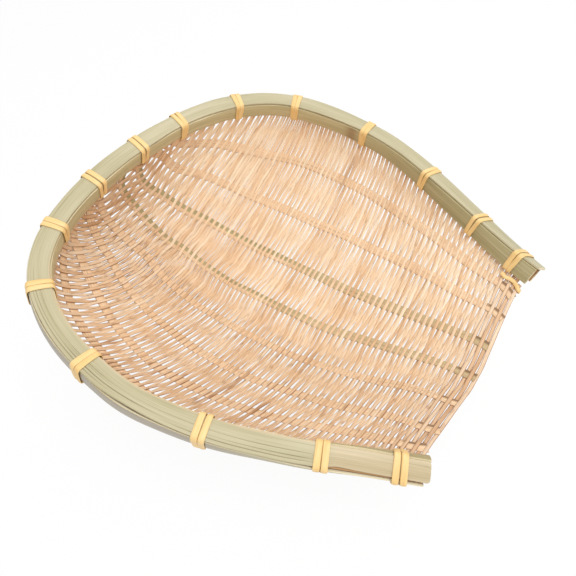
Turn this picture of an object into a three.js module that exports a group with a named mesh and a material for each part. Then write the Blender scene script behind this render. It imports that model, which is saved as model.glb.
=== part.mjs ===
// Horseshoe-shaped bamboo scoop basket: a woven bowl of fine wefts over wide ribs, open at the mouth,
// clamped in a bent rim box of three split-bamboo laths and bound with cane ties.
// Millimetres, +Z up. X runs across the basket, +Y points to the back, and the mouth opens toward -Y.
import * as THREE from 'three';

// Rim plan, measured on the centre line of the rim box
const rimHalfWidth = 195;
const bellyFromBack = 162;
const rimLength = 387;
const mouthHalfWidth = 108;
const armToeIn = 25;
const backFullness = 0.74;
const armFullness = 0.33;

// Rim height above the resting plane, and how far the section leans out
const rimHeight = 155;
const mouthDrop = 71;
const backLean = -27;
const mouthLean = 35;
const leanGrowth = 1.65;

// Rim box section
const rimWidth = 20;
const rimDepth = 19.2;
const lathThickness = 2.6;
const capThickness = 2.6;
const capReveal = 1.6;
const skinCrown = 0.7;
const outerLathShortfall = 4;
const coreSetback = 16;
const coreHeight = 9;

// Woven panel
const panelThickness = 2.4;
const flangeHeight = 9;
const weaveSetback = 1.5;
const cornerDrop = 8;
const cornerDropRun = 24;
const floorBack = -105;
const floorFront = -210;
const floorHalfShare = 0.13;
const wallHandle = 76;
const floorHandle = 55;
const lipFromBack = 384;
const lipHeight = 52;
const lipSlope = 5;
const rampHandle = 42;
const rowDropHandle = 0.4;
const rowFloorHandle = 0.06;

// Slits that the weave leaves open, in rows along the wefts, staggered from row to row
const slitWidth = 5;
const slitRows = 12;
const slitFirstRow = 5;
const slitRowStep = 2;

// Ribs, from left to right. Each path gives how far the rib lies out from the spine, as a share of the way
// to the rim, at equal steps from the back to the mouth. Past 1 the rib is behind the rim and isn't made.
const ribPaths = [
  [-1.6, -1.2, -1.0, -0.877, -0.843, -0.858, -0.885, -0.93, -0.99, -1.05, -1.1],
  [-1.6, -1.35, -0.926, -0.719, -0.692, -0.71, -0.697, -0.729, -0.771, -0.812, -0.88],
  [-1.6, -1.15, -0.698, -0.538, -0.491, -0.492, -0.485, -0.503, -0.56, -0.59, -0.667],
  [-1.6, -1.0, -0.436, -0.288, -0.243, -0.232, -0.22, -0.228, -0.263, -0.27, -0.323],
  [-1.2, -0.42, -0.104, -0.019, 0.003, 0.009, 0.022, 0.032, 0.027, 0.023, 0.003],
  [-0.3, 0.08, 0.206, 0.242, 0.25, 0.257, 0.272, 0.286, 0.296, 0.311, 0.333],
  [0.9, 0.55, 0.523, 0.502, 0.505, 0.512, 0.535, 0.563, 0.592, 0.603, 0.646],
  [1.3, 0.88, 0.79, 0.758, 0.773, 0.779, 0.79, 0.807, 0.828, 0.84, 0.88],
];
const firstOliveRib = 5;
const lastOliveRib = 6;
const ribWidth = 10.5;
const ribThickness = 1.1;
const ribSeat = 0.6;
const ribEndGap = 2;

// Cane ties: where they sit, as shares of each arm's length from the middle of the back
const rightTies = [0.961, 0.858, 0.714, 0.544, 0.377, 0.246, 0.105];
const leftTies = [0.115, 0.231, 0.353, 0.508, 0.701, 0.862, 0.962];
const strandWidth = 5.2;
const strandThickness = 1;
const strandGroove = 0.5;
const tieTuck = 2;

// Corner lashing at the right-hand corner of the mouth
const lashingInset = 2.6;
const lashingWidth = 3.2;
const lashingThickness = 0.9;

// Gap that touching pieces keep
const clearance = 0.3;

// Facets
const rimFacet = 17;
const rowHalfSteps = 11;

const bambooSkin = material(0xb9b58c, 0.55);
const bambooSkinShaded = material(0xa39a6c, 0.55);
const bambooInside = material(0xb98a60, 0.8);
const weftCream = material(0xe8be92, 0.75);
const ribCream = material(0xd9b487, 0.7);
const ribOlive = material(0xb3a36f, 0.65);
const cane = material(0xf2c472, 0.5);

function material(color, roughness) {
  return new THREE.MeshStandardMaterial({ color, roughness, metalness: 0 });
}

function radians(degrees) {
  return THREE.MathUtils.degToRad(degrees);
}

// Plan curve of one arm, from the middle of the back round the belly to the arm's end
function armPlan() {
  const straightRun = rimLength - bellyFromBack;
  const toe = new THREE.Vector2(Math.sin(radians(armToeIn)), Math.cos(radians(armToeIn)));
  const handle = armFullness * straightRun;
  const plan = new THREE.CurvePath();
  plan.add(new THREE.CubicBezierCurve(
    new THREE.Vector2(0, 0),
    new THREE.Vector2(backFullness * rimHalfWidth, 0),
    new THREE.Vector2(rimHalfWidth, -(1 - backFullness) * bellyFromBack),
    new THREE.Vector2(rimHalfWidth, -bellyFromBack)));
  plan.add(new THREE.CubicBezierCurve(
    new THREE.Vector2(rimHalfWidth, -bellyFromBack),
    new THREE.Vector2(rimHalfWidth, -bellyFromBack - handle),
    new THREE.Vector2(mouthHalfWidth + handle * toe.x, -rimLength + handle * toe.y),
    new THREE.Vector2(mouthHalfWidth, -rimLength)));
  return plan;
}

const arm = armPlan();
const armLength = arm.getLength();
const weaveEndShare = 1 - weaveSetback / armLength;

// Point on the rim's centre line. share is 0 at the back, 1 at the right arm's end, -1 at the left one's.
function rimPoint(share) {
  const reach = Math.abs(share);
  const plan = arm.getPointAt(Math.min(reach, 1));
  const drop = mouthDrop * (1 - Math.cos(Math.PI * reach)) / 2;
  return new THREE.Vector3(Math.sign(share) * plan.x, plan.y, rimHeight - drop);
}

// Axes of the rim section: along the rim, outward across it, and up through the cap
function rimFrame(share) {
  const step = 0.002;
  const from = rimPoint(Math.max(share - step, -1));
  const to = rimPoint(Math.min(share + step, 1));
  const along = to.sub(from).normalize();
  const level = new THREE.Vector3(0, 0, 1).cross(along).normalize();
  const square = along.clone().cross(level);
  const lean = radians(backLean + (mouthLean - backLean) * Math.abs(share) ** leanGrowth);
  const outward = level.clone().multiplyScalar(Math.cos(lean)).addScaledVector(square, -Math.sin(lean));
  const up = level.clone().multiplyScalar(Math.sin(lean)).addScaledVector(square, Math.cos(lean));
  return { centre: rimPoint(share), along, outward, up };
}

function inSection(frame, across, height) {
  return frame.centre.clone().addScaledVector(frame.outward, across).addScaledVector(frame.up, height);
}

// Closed solid through a run of rings with the same number of points
function loft(rings) {
  const size = rings[0].length;
  const positions = rings.flat().flatMap((p) => [p.x, p.y, p.z]);
  const faces = [];
  for (let i = 0; i + 1 < rings.length; i++) {
    for (let j = 0; j < size; j++) {
      const a = i * size + j;
      const b = i * size + (j + 1) % size;
      faces.push(a, b, b + size, a, b + size, a + size);
    }
  }
  const last = (rings.length - 1) * size;
  for (const [p, q, r] of capTriangles(rings[0])) {
    faces.push(r, q, p, last + p, last + q, last + r);
  }
  return solid(positions, faces);
}

// End faces of a loft, cut into triangles in the plane that fits the ring best
function capTriangles(ring) {
  const origin = ring[0];
  const normal = new THREE.Vector3();
  for (let j = 1; j + 1 < ring.length; j++) {
    const side = ring[j].clone().sub(origin);
    normal.add(side.cross(ring[j + 1].clone().sub(origin)));
  }
  normal.normalize();
  const xAxis = ring[1].clone().sub(origin).normalize();
  const yAxis = normal.clone().cross(xAxis);
  const flat = ring.map((p) => {
    const offset = p.clone().sub(origin);
    return new THREE.Vector2(offset.dot(xAxis), offset.dot(yAxis));
  });
  return THREE.ShapeUtils.triangulateShape(flat, []);
}

// Indexed geometry whose faces point out
function solid(positions, faces) {
  let volume = 0;
  const at = (i) => new THREE.Vector3().fromArray(positions, 3 * i);
  for (let k = 0; k < faces.length; k += 3) {
    volume += at(faces[k]).dot(at(faces[k + 1]).cross(at(faces[k + 2])));
  }
  const outwardFaces = volume > 0 ? faces : faces.slice().reverse();
  const geometry = new THREE.BufferGeometry();
  geometry.setAttribute('position', new THREE.Float32BufferAttribute(positions, 3));
  geometry.setIndex(outwardFaces);
  geometry.computeVertexNormals();
  return geometry;
}

function spread(from, to, steps) {
  return Array.from({ length: steps + 1 }, (_, i) => from + (to - from) * i / steps);
}

const tieShares = [...rightTies, 0, ...leftTies.map((share) => -share)];
const tieSeat = (strandWidth + strandGroove / 2 + 2 * clearance) / armLength;

// Both edges of each tie's seat along one arm, out to the given share
function seatEdges(ties, endShare) {
  const centres = [0, ...ties.toSorted((a, b) => a - b)];
  const seats = centres.flatMap((share) => [share - tieSeat, share + tieSeat]);
  return [...seats.slice(1).filter((share) => share < endShare), endShare];
}

// Shares where an arm is faceted: one flat facet under every tie, and the same number between on both arms
function armStations(ties, endShare) {
  const knots = seatEdges(ties, endShare);
  const paired = [seatEdges(rightTies, endShare), seatEdges(leftTies, endShare)];
  const stations = knots.slice(0, 1);
  for (let i = 0; i + 1 < knots.length; i++) {
    const [right, left] = paired.map((edges) => edges[i + 1] - edges[i]);
    const steps = Math.max(1, Math.round((right + left) / 2 * armLength / rimFacet));
    stations.push(...spread(knots[i], knots[i + 1], steps).slice(1));
  }
  return stations;
}

// The same stations for every lath, from the left arm to the right one, cut off where a lath ends
function rimStations(endShare) {
  const cutOff = (ties) => [...armStations(ties, 1).filter((share) => share < endShare), endShare];
  const left = cutOff(leftTies).map((share) => -share);
  return [...left.reverse(), ...cutOff(rightTies)];
}

// A section swept round the rim between two shares
function sweepRim(section, endShare) {
  const rings = rimStations(endShare).map((share) => {
    const frame = rimFrame(share);
    return section.map(([across, height]) => inSection(frame, across, height));
  });
  return loft(rings);
}

// Side lath: a flat inner side, square cut edges and a crowned green skin. side is 1 outside, -1 inside.
function sideLathSection(side) {
  const skin = side * rimWidth / 2;
  const inside = side * (rimWidth / 2 - lathThickness);
  const top = rimDepth / 2 - capThickness - clearance;
  const bottom = -rimDepth / 2;
  const edge = skin - side * skinCrown;
  const middle = (top + bottom) / 2;
  const quarter = (top - bottom) / 4;
  return [
    [inside, bottom], [edge, bottom], [skin - side * skinCrown / 4, middle - quarter],
    [skin, middle], [skin - side * skinCrown / 4, middle + quarter], [edge, top], [inside, top],
  ];
}

// Cap lath: rests on the top edges of both side laths and leaves part of each edge showing
function capSection() {
  const half = rimWidth / 2 - capReveal;
  const top = rimDepth / 2;
  const bottom = top - capThickness;
  return [
    [-half, bottom], [0, bottom], [half, bottom], [half, top - skinCrown], [half / 2, top - skinCrown / 4],
    [0, top], [-half / 2, top - skinCrown / 4], [-half, top - skinCrown],
  ];
}

// Across position of the woven panel's middle where it stands in the rim box, against the inner lath
const flangeAcross = -(rimWidth / 2 - lathThickness - clearance - panelThickness / 2);

// Filler strip that keeps the side laths apart, between the panel and the outer lath
function coreSection() {
  const inner = flangeAcross + panelThickness / 2 + clearance;
  const outer = rimWidth / 2 - lathThickness - clearance;
  const top = rimDepth / 2 - capThickness - clearance;
  const bottom = top - coreHeight;
  return [[inner, bottom], [outer, bottom], [outer, top], [inner, top]];
}

// How far the panel's edge sinks below the rim box near the mouth, where it is lashed and not clamped
function edgeDrop(share) {
  const beforeEnd = (weaveEndShare - Math.abs(share)) * armLength;
  const near = THREE.MathUtils.clamp(1 - beforeEnd / cornerDropRun, 0, 1);
  return cornerDrop * near * near;
}

function panelEdge(share) {
  const frame = rimFrame(share);
  return { frame, point: inSection(frame, flangeAcross, -rimDepth / 2 - edgeDrop(share)) };
}

function flangeTop(share) {
  const lowered = edgeDrop(share) / cornerDrop;
  const rise = THREE.MathUtils.lerp(flangeHeight, ribEndGap, lowered);
  const { frame, point } = panelEdge(share);
  return point.addScaledVector(frame.up, rise);
}

// Centre line of the panel: down the back wall, along the flat floor and up the ramp to the lip
function spinePath() {
  const floor = panelThickness / 2;
  const { frame, point } = panelEdge(0);
  const lip = new THREE.Vector3(0, -lipFromBack, lipHeight);
  const lipRun = new THREE.Vector3(0, Math.cos(radians(lipSlope)), -Math.sin(radians(lipSlope)));
  const spine = new THREE.CurvePath();
  spine.add(new THREE.CubicBezierCurve3(
    point,
    point.clone().addScaledVector(frame.up, -wallHandle),
    new THREE.Vector3(0, floorBack + floorHandle, floor),
    new THREE.Vector3(0, floorBack, floor)));
  spine.add(new THREE.LineCurve3(
    new THREE.Vector3(0, floorBack, floor),
    new THREE.Vector3(0, floorFront, floor)));
  spine.add(new THREE.CubicBezierCurve3(
    new THREE.Vector3(0, floorFront, floor),
    new THREE.Vector3(0, floorFront - rampHandle, floor),
    lip.clone().addScaledVector(lipRun, rampHandle),
    lip));
  return spine;
}

const spine = spinePath();

// Half of one weft row, from the spine out to the rim at the given share
function halfRow(middle, share) {
  const { frame, point } = panelEdge(share);
  const level = middle.clone().setX(point.x * floorHalfShare);
  const drop = point.distanceTo(level.clone().setX(point.x));
  const row = new THREE.CurvePath();
  row.add(new THREE.LineCurve3(middle, level));
  row.add(new THREE.CubicBezierCurve3(
    level,
    level.clone().setX(point.x * (floorHalfShare + (1 - floorHalfShare) * rowFloorHandle)),
    point.clone().addScaledVector(frame.up, -rowDropHandle * drop),
    point));
  return spread(0, 1, rowHalfSteps).slice(1).map((at) => row.getPointAt(at));
}

// Weft rows as polylines from the left side of the rim to the right one, from the back to the mouth
function weftRows() {
  const left = armStations(leftTies, weaveEndShare);
  const right = armStations(rightTies, weaveEndShare);
  return right.map((share, i) => {
    const middle = spine.getPointAt(Math.min((share + left[i]) / 2 / weaveEndShare, 1));
    return [...halfRow(middle, -left[i]).reverse(), middle, ...halfRow(middle, share)];
  });
}

const rows = weftRows();

// Both edges of a row of slits, midway between two neighbouring rows
function slitEdges(behind, ahead) {
  return [-1, 1].map((side) => behind.map((point, j) => {
    const way = ahead[j].clone().sub(point).normalize();
    return point.clone().lerp(ahead[j], 0.5).addScaledVector(way, side * slitWidth / 2);
  }));
}

// Middle surface of the panel: rows across the bowl, each carried on at both ends into the flange that
// stands in the rim box, with staggered slits between them
function panelSurface() {
  const points = [];
  const faces = [];
  const openings = [];
  const put = (point) => points.push(point) - 1;
  const left = armStations(leftTies, weaveEndShare);
  const right = armStations(rightTies, weaveEndShare);
  const flanged = rows.map((row, i) => [flangeTop(-left[i]), ...row, flangeTop(right[i])]);
  const width = flanged[0].length - 1;
  const [top, back] = [flangeTop(0), panelEdge(0).point].map(put);
  const grid = [[top, ...Array(width - 1).fill(back), top]];
  const slitRowAt = new Map();
  flanged.forEach((row, i) => {
    grid.push(row.map(put));
    const slitRow = (i - slitFirstRow) / slitRowStep;
    if (!Number.isInteger(slitRow) || slitRow < 0 || slitRow >= slitRows) return;
    slitRowAt.set(grid.length, slitRow);
    for (const edge of slitEdges(row, flanged[i + 1])) grid.push(edge.map(put));
  });
  for (let i = 0; i + 1 < grid.length; i++) {
    for (let j = 0; j < width; j++) {
      const corners = [grid[i][j], grid[i][j + 1], grid[i + 1][j + 1], grid[i + 1][j]];
      const inBowl = j > 1 && j < width - 2;
      if (inBowl && (slitRowAt.get(i) + j) % 2 === 0) openings.push(corners);
      else addQuad(faces, ...corners);
    }
  }
  const outline = [
    ...grid.at(-1),
    ...grid.slice(0, -1).reverse().map((row) => row[width]),
    ...grid.slice(1, -1).map((row) => row[0]),
  ];
  return { points, faces, loops: [outline, ...openings] };
}

// Two triangles of a four-cornered patch, or one where two of its corners are the same point
function addQuad(faces, a, b, c, d) {
  faces.push(a, d, c);
  if (a !== b) faces.push(a, c, b);
}

// Shell of even thickness round a middle surface, walled along its outline and round its openings
function thicken({ points, faces, loops }, thickness) {
  const middle = new THREE.BufferGeometry().setFromPoints(points);
  middle.setIndex(faces);
  middle.computeVertexNormals();
  const normals = middle.getAttribute('normal');
  const count = points.length;
  const offset = (side) => points.flatMap((p, i) => {
    const normal = new THREE.Vector3().fromBufferAttribute(normals, i);
    return p.clone().addScaledVector(normal, side * thickness / 2).toArray();
  });
  const shell = faces.slice();
  for (let k = 0; k < faces.length; k += 3) {
    shell.push(faces[k] + count, faces[k + 2] + count, faces[k + 1] + count);
  }
  for (const loop of loops) {
    loop.forEach((a, k) => {
      const b = loop[(k + 1) % loop.length];
      shell.push(b, a, a + count, b, a + count, b + count);
    });
  }
  return solid([...offset(1), ...offset(-1)], shell);
}

function rowLength(row) {
  return row.slice(1).reduce((sum, point, i) => sum + point.distanceTo(row[i]), 0);
}

// Half of a row from the spine out to the rim, on the left below 0 and on the right above
function rowHalf(row, side) {
  return side < 0 ? row.slice(0, rowHalfSteps + 1).reverse() : row.slice(rowHalfSteps);
}

// Point at a distance along a row from the spine, positive to the right, or null past the row's end
function onRow(row, reach) {
  const half = rowHalf(row, reach);
  let left = Math.abs(reach);
  for (let i = 0; i + 1 < half.length; i++) {
    const step = half[i].distanceTo(half[i + 1]);
    if (left <= step) return half[i].clone().lerp(half[i + 1], left / step);
    left -= step;
  }
  return null;
}

// Direction square to the panel's inner face at a place on one of its rows
function innerNormal(from, to, behind, ahead) {
  return ahead.clone().sub(behind).cross(to.clone().sub(from)).normalize();
}

// One flat rib, seated on the inner face of the panel from the row where it leaves the rim at the back
function ribGeometry(path) {
  const seat = panelThickness / 2 + ribSeat;
  const shares = new THREE.SplineCurve(path.map((share, i) => new THREE.Vector2(i, share)));
  const reachOn = (i) => {
    const share = shares.getPoint(i / (rows.length - 1)).y;
    return share * rowLength(rowHalf(rows[i], share));
  };
  const room = ribWidth / 2 + ribEndGap;
  const crosses = (i) => onRow(rows[i], reachOn(i) + room) && onRow(rows[i], reachOn(i) - room);
  const crossed = rows.map((row, i) => i).filter(crosses);
  const rings = crossed.map((i, k) => {
    const reach = reachOn(i);
    const low = onRow(rows[i], reach - ribWidth / 2);
    const high = onRow(rows[i], reach + ribWidth / 2);
    const around = [crossed[k - 1] ?? i, crossed[k + 1] ?? i];
    const [behind, ahead] = around.map((near) => onRow(rows[near], reachOn(near)));
    const normal = innerNormal(low, high, behind, ahead);
    const at = (point, lift) => point.clone().addScaledVector(normal, lift);
    return [at(low, seat), at(high, seat), at(high, seat + ribThickness), at(low, seat + ribThickness)];
  });
  return loft(rings);
}

// Path of a tie round the rim box, from its tuck under the inner lath to its tuck under the core
function tiePath() {
  const side = rimWidth / 2 + clearance;
  const top = rimDepth / 2 + clearance;
  const shoulder = rimWidth / 2 - capReveal;
  const shoulderTop = top - skinCrown;
  const sideTop = shoulderTop - capReveal;
  return [
    [-side + tieTuck, -top], [-side, -top], [-side, sideTop], [-shoulder, shoulderTop],
    [-shoulder / 2, top - skinCrown / 4], [0, top], [shoulder / 2, top - skinCrown / 4],
    [shoulder, shoulderTop], [side, sideTop], [side, -top], [side - 2 * tieTuck, -top],
  ];
}

// Directions square to a bent path at one of its points, lengthened so that a strap keeps its thickness
function mitre(path, i) {
  const at = (k) => new THREE.Vector2(...path[THREE.MathUtils.clamp(k, 0, path.length - 1)]);
  const square = (from, to) => {
    const way = at(to).sub(at(from)).normalize();
    return new THREE.Vector2(-way.y, way.x);
  };
  const before = i > 0 ? square(i - 1, i) : square(i, i + 1);
  const after = i + 1 < path.length ? square(i, i + 1) : before;
  const middle = before.clone().add(after).normalize();
  return middle.multiplyScalar(1 / middle.dot(before));
}

// Two flat strands side by side with a groove between them, bent round the rim's flat seat for this tie
function tieGeometry(share) {
  const path = tiePath();
  const before = rimFrame(share - tieSeat);
  const after = rimFrame(share + tieSeat);
  const half = strandWidth + strandGroove / 2;
  const seatLength = 2 * tieSeat * armLength;
  const profile = [
    [-half, 0], [half, 0], [half, strandThickness], [strandGroove / 2, strandThickness],
    [0, strandThickness - strandGroove], [-strandGroove / 2, strandThickness], [-half, strandThickness],
  ];
  const rings = path.map(([across, height], i) => {
    const out = mitre(path, i);
    return profile.map(([along, lift]) => {
      const spot = [across + out.x * lift, height + out.y * lift];
      return inSection(before, ...spot).lerp(inSection(after, ...spot), 0.5 + along / seatLength);
    });
  });
  return loft(rings);
}

// Strap over the panel's right-hand mouth corner: in along the inner face, round the edge and out below
function lashingGeometry() {
  const lift = panelThickness / 2 + clearance;
  const half = lashingWidth / 2;
  const reachOn = (row) => rowLength(row.slice(rowHalfSteps)) - lashingInset;
  const mouthRows = rows.slice(-2);
  const [behind, ahead] = mouthRows.map((row) => onRow(row, reachOn(row)));
  const stations = mouthRows.map((row) => {
    const low = onRow(row, reachOn(row) - half);
    const high = onRow(row, reachOn(row) + half);
    const along = ahead.clone().sub(behind).normalize();
    return { low, high, along, normal: innerNormal(low, high, behind, ahead) };
  });
  const ring = ({ low, high, along, normal }, side, ahead) => {
    const at = (point, height, past) => {
      return point.clone().addScaledVector(normal, side * height).addScaledVector(along, past);
    };
    const [near, far] = [lift, lift + lashingThickness];
    const past = ahead ? ahead + lashingThickness : 0;
    return [at(low, near, ahead), at(high, near, ahead), at(high, far, past), at(low, far, past)];
  };
  const end = stations.at(-1);
  return loft([
    ...stations.map((station) => ring(station, 1, 0)),
    ring(end, 1, clearance),
    ring(end, -1, clearance),
    ...stations.toReversed().map((station) => ring(station, -1, 0)),
  ]);
}

const basket = new THREE.Group();

function addPiece(name, geometry, surface) {
  const mesh = new THREE.Mesh(geometry, surface);
  mesh.name = name;
  basket.add(mesh);
}

function addRim() {
  addPiece('rim_inner_lath', sweepRim(sideLathSection(-1), 1), bambooSkinShaded);
  addPiece('rim_outer_lath', sweepRim(sideLathSection(1), 1 - outerLathShortfall / armLength), bambooSkin);
  addPiece('rim_cap_lath', sweepRim(capSection(), 1), bambooSkin);
  addPiece('rim_core', sweepRim(coreSection(), 1 - coreSetback / armLength), bambooInside);
}

function addWeave() {
  addPiece('weft_panel', thicken(panelSurface(), panelThickness), weftCream);
  ribPaths.forEach((path, i) => {
    const number = i + 1;
    const olive = number >= firstOliveRib && number <= lastOliveRib;
    addPiece(`rib_${String(number).padStart(2, '0')}`, ribGeometry(path), olive ? ribOlive : ribCream);
  });
}

function addTies() {
  tieShares.forEach((share, i) => {
    addPiece(`tie_${String(i + 1).padStart(2, '0')}`, tieGeometry(share), cane);
  });
  addPiece('corner_lashing', lashingGeometry(), cane);
}

// Sets the basket on the ground with its origin under the middle of its outline
function centreOnOrigin() {
  const box = new THREE.Box3().setFromObject(basket, true);
  const middle = box.getCenter(new THREE.Vector3());
  for (const piece of basket.children) piece.geometry.translate(-middle.x, -middle.y, -box.min.z);
}

addRim();
addWeave();
addTies();
centreOnOrigin();

export default basket;
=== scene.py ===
import math

import bpy
import numpy as np
from mathutils import Matrix, Vector


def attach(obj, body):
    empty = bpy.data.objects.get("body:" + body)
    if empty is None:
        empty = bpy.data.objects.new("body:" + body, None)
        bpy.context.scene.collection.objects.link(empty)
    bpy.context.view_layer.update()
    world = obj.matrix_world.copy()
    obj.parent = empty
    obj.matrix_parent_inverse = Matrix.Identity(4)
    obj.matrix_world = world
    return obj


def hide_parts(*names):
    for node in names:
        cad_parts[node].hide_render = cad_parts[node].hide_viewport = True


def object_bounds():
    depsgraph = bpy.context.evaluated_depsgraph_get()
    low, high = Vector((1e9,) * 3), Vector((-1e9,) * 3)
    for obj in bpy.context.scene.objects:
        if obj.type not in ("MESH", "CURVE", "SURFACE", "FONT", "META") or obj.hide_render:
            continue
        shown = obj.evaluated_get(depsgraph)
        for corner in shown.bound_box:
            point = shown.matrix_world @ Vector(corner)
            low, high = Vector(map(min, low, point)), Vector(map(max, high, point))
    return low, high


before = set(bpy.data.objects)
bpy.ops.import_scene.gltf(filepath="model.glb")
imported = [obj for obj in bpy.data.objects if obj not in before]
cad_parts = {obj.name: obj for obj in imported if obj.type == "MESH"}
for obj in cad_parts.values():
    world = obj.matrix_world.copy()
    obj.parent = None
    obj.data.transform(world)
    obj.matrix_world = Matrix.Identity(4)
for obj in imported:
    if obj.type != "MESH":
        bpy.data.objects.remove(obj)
cad_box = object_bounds()

# Sizes are in millimetres, the same as the solids'. Places are from the middle of the back, which lies here
ORIGIN = np.array([-0.08, 188.54, 0.0])

# Rim, on the centre line of its box section
RIM_HALF_WIDTH, BELLY, RIM_LENGTH, MOUTH_HALF = 195.0, 162.0, 387.0, 108.0
TOE_IN, BACK_FULL, ARM_FULL = math.radians(25), 0.74, 0.33
RIM_HEIGHT, MOUTH_DROP = 155.0, 71.0
BACK_LEAN, MOUTH_LEAN, LEAN_GROWTH = math.radians(-27), math.radians(35), 1.65
RIM_W, RIM_D, LATH, CAP, REVEAL, CROWN = 20.0, 19.2, 2.6, 2.6, 1.6, 0.7
OUTER_SHORT, CORE_SETBACK, CORE_D = 4.0, 16.0, 9.0
RIGHT_TIES = [0.105, 0.246, 0.377, 0.544, 0.714, 0.858, 0.961]
LEFT_TIES = [0.115, 0.231, 0.353, 0.508, 0.701, 0.862, 0.962]

# Woven panel
PANEL, CLEAR = 2.4, 0.3
FLANGE_ACROSS = -(RIM_W / 2 - LATH - CLEAR - PANEL / 2)
SETBACK, CORNER_DROP, DROP_RUN = 1.5, 8.0, 24.0
FLOOR_BACK, FLOOR_FRONT, FLOOR_SHARE = -105.0, -210.0, 0.13
WALL_HANDLE, FLOOR_HANDLE, RAMP_HANDLE = 76.0, 55.0, 42.0
LIP_Y, LIP_Z, LIP_SLOPE = -384.0, 52.0, math.radians(5)
ROW_DROP, ROW_FLOOR = 0.4, 0.06
RIM_FACET = 17.0

# Ribs from left to right: how far out each lies on its way from the back to the mouth, as a share of the way
# from the spine to the rim. The olive ones are counted from 0
RIB_PATHS = np.array([
    [-1.6, -1.2, -1.0, -0.877, -0.843, -0.858, -0.885, -0.93, -0.99, -1.05, -1.1],
    [-1.6, -1.35, -0.926, -0.719, -0.692, -0.71, -0.697, -0.729, -0.771, -0.812, -0.88],
    [-1.6, -1.15, -0.698, -0.538, -0.491, -0.492, -0.485, -0.503, -0.56, -0.59, -0.667],
    [-1.6, -1.0, -0.436, -0.288, -0.243, -0.232, -0.22, -0.228, -0.263, -0.27, -0.323],
    [-1.2, -0.42, -0.104, -0.019, 0.003, 0.009, 0.022, 0.032, 0.027, 0.023, 0.003],
    [-0.3, 0.08, 0.206, 0.242, 0.25, 0.257, 0.272, 0.286, 0.296, 0.311, 0.333],
    [0.9, 0.55, 0.523, 0.502, 0.505, 0.512, 0.535, 0.563, 0.592, 0.603, 0.646],
    [1.3, 0.88, 0.79, 0.758, 0.773, 0.779, 0.79, 0.807, 0.828, 0.84, 0.88]])
RIB_W, RIB_T, RIB_SHORT = 10.5, 1.1, 2.2
OLIVE_RIBS = (4, 5)

# Wefts: how far apart they lie, at distances along the spine
PITCH_AT, PITCHES = [60, 100, 150, 200, 280, 360, 440], [3.9, 3.8, 3.4, 3.2, 3.25, 3.8, 3.05]
# How thick they are, how far they bend at a rib, and how far beside it they stay bent
WEFT_T, WAVE, BENT = 0.75, 1.2, 0.6
# How much of its spacing a weft fills: between the ribs, and over one and under one where its slits are 1 wide
FILL, FILL_OVER, FILL_UNDER = 1.06, 1.0, 0.82
# The mouth's border: how many wefts, how far apart, and how much of that they fill
BORDER_WEFTS, BORDER_PITCH, BORDER_FILL = 5, 4.1, 0.88
# How far they run into the rim, in general and at the mouth's corners, and how far in it grips them
TUCK, CORNER_TUCK, GRIP = 7.0, 1.5, 3.0
# Rings in a weft, and the step across of the grid on which its path is worked out
WEFT_STEPS, REACH_STEP = 180, 2.0

# Places along the spine and out from it, negative to the left: loose spots in the weave, and stained wefts
# with the stain's two ends and how brown it is
LOOSE_SPOTS = [(213, -82), (228, -70), (274, -75)]
STAINED = [(221, -205, -165, 0.4), (315, -180, -95, 0.35), (357, -150, -120, 0.35), (256, 155, 215, 0.35),
           (244, 165, 175, 0.4)]

# Cane
STRAND_W, STRAND_T, STRAND_GROOVE, TIE_GAP = 5.2, 0.9, 0.5, 0.35
LASHING_W, LASHING_T = 3.6, 0.9

# How bright a white the camera sees on the floor, how bright the surroundings light the object, and how far
# the floor lies below the solids
FLOOR_GLOW, SKY_LIGHT, FLOOR_DROP = 0.93, 0.62, 0.5

rng = np.random.default_rng(7)


def bezier(points, n):
    t = np.linspace(0, 1, n)[:, None]
    a, b, c, d = (np.asarray(p, float) for p in points)
    return (1 - t) ** 3 * a + 3 * (1 - t) ** 2 * t * b + 3 * (1 - t) * t * t * c + t ** 3 * d


def lengths(path):
    return np.concatenate([[0], np.cumsum(np.linalg.norm(np.diff(path, axis=0), axis=1))])


def on_path(path, at):
    """Points at distances along a polyline."""
    s = lengths(path)
    return np.stack([np.interp(at, s, path[:, k]) for k in range(path.shape[1])], -1)


def unit(v):
    return v / np.linalg.norm(v, axis=-1, keepdims=True)


def smooth(x):
    x = np.clip(x, 0, 1)
    return x * x * (3 - 2 * x)


def waves(count, reach, seed):
    """Smooth noise of one number: a sum of sines, roughly between -1 and 1, with periods below reach."""
    source = np.random.default_rng(seed)
    period = reach * source.uniform(0.3, 1, count)
    phase = source.uniform(0, 2 * np.pi, count)

    def noise(x):
        total = sum(np.sin(2 * np.pi * np.asarray(x) / p + f) for p, f in zip(period, phase))
        return total / count ** 0.5 / 1.2

    return noise


def arm_plan():
    handle = ARM_FULL * (RIM_LENGTH - BELLY)
    belly = (RIM_HALF_WIDTH, -BELLY)
    toe = (MOUTH_HALF + handle * math.sin(TOE_IN), -RIM_LENGTH + handle * math.cos(TOE_IN))
    back = bezier([(0, 0), (BACK_FULL * RIM_HALF_WIDTH, 0),
                   (RIM_HALF_WIDTH, -(1 - BACK_FULL) * BELLY), belly], 900)
    front = bezier([belly, (RIM_HALF_WIDTH, -BELLY - handle), toe, (MOUTH_HALF, -RIM_LENGTH)], 900)
    return np.vstack([back, front[1:]])


PLAN = arm_plan()
ARM = lengths(PLAN)[-1]
WEAVE_END = 1 - SETBACK / ARM


def rim_point(share):
    share = np.asarray(share, float)
    reach = np.minimum(np.abs(share), 1)
    xy = on_path(PLAN, reach * ARM)
    z = RIM_HEIGHT - MOUTH_DROP * (1 - np.cos(np.pi * reach)) / 2
    return np.stack([np.sign(share) * xy[..., 0], xy[..., 1], z], -1)


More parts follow.
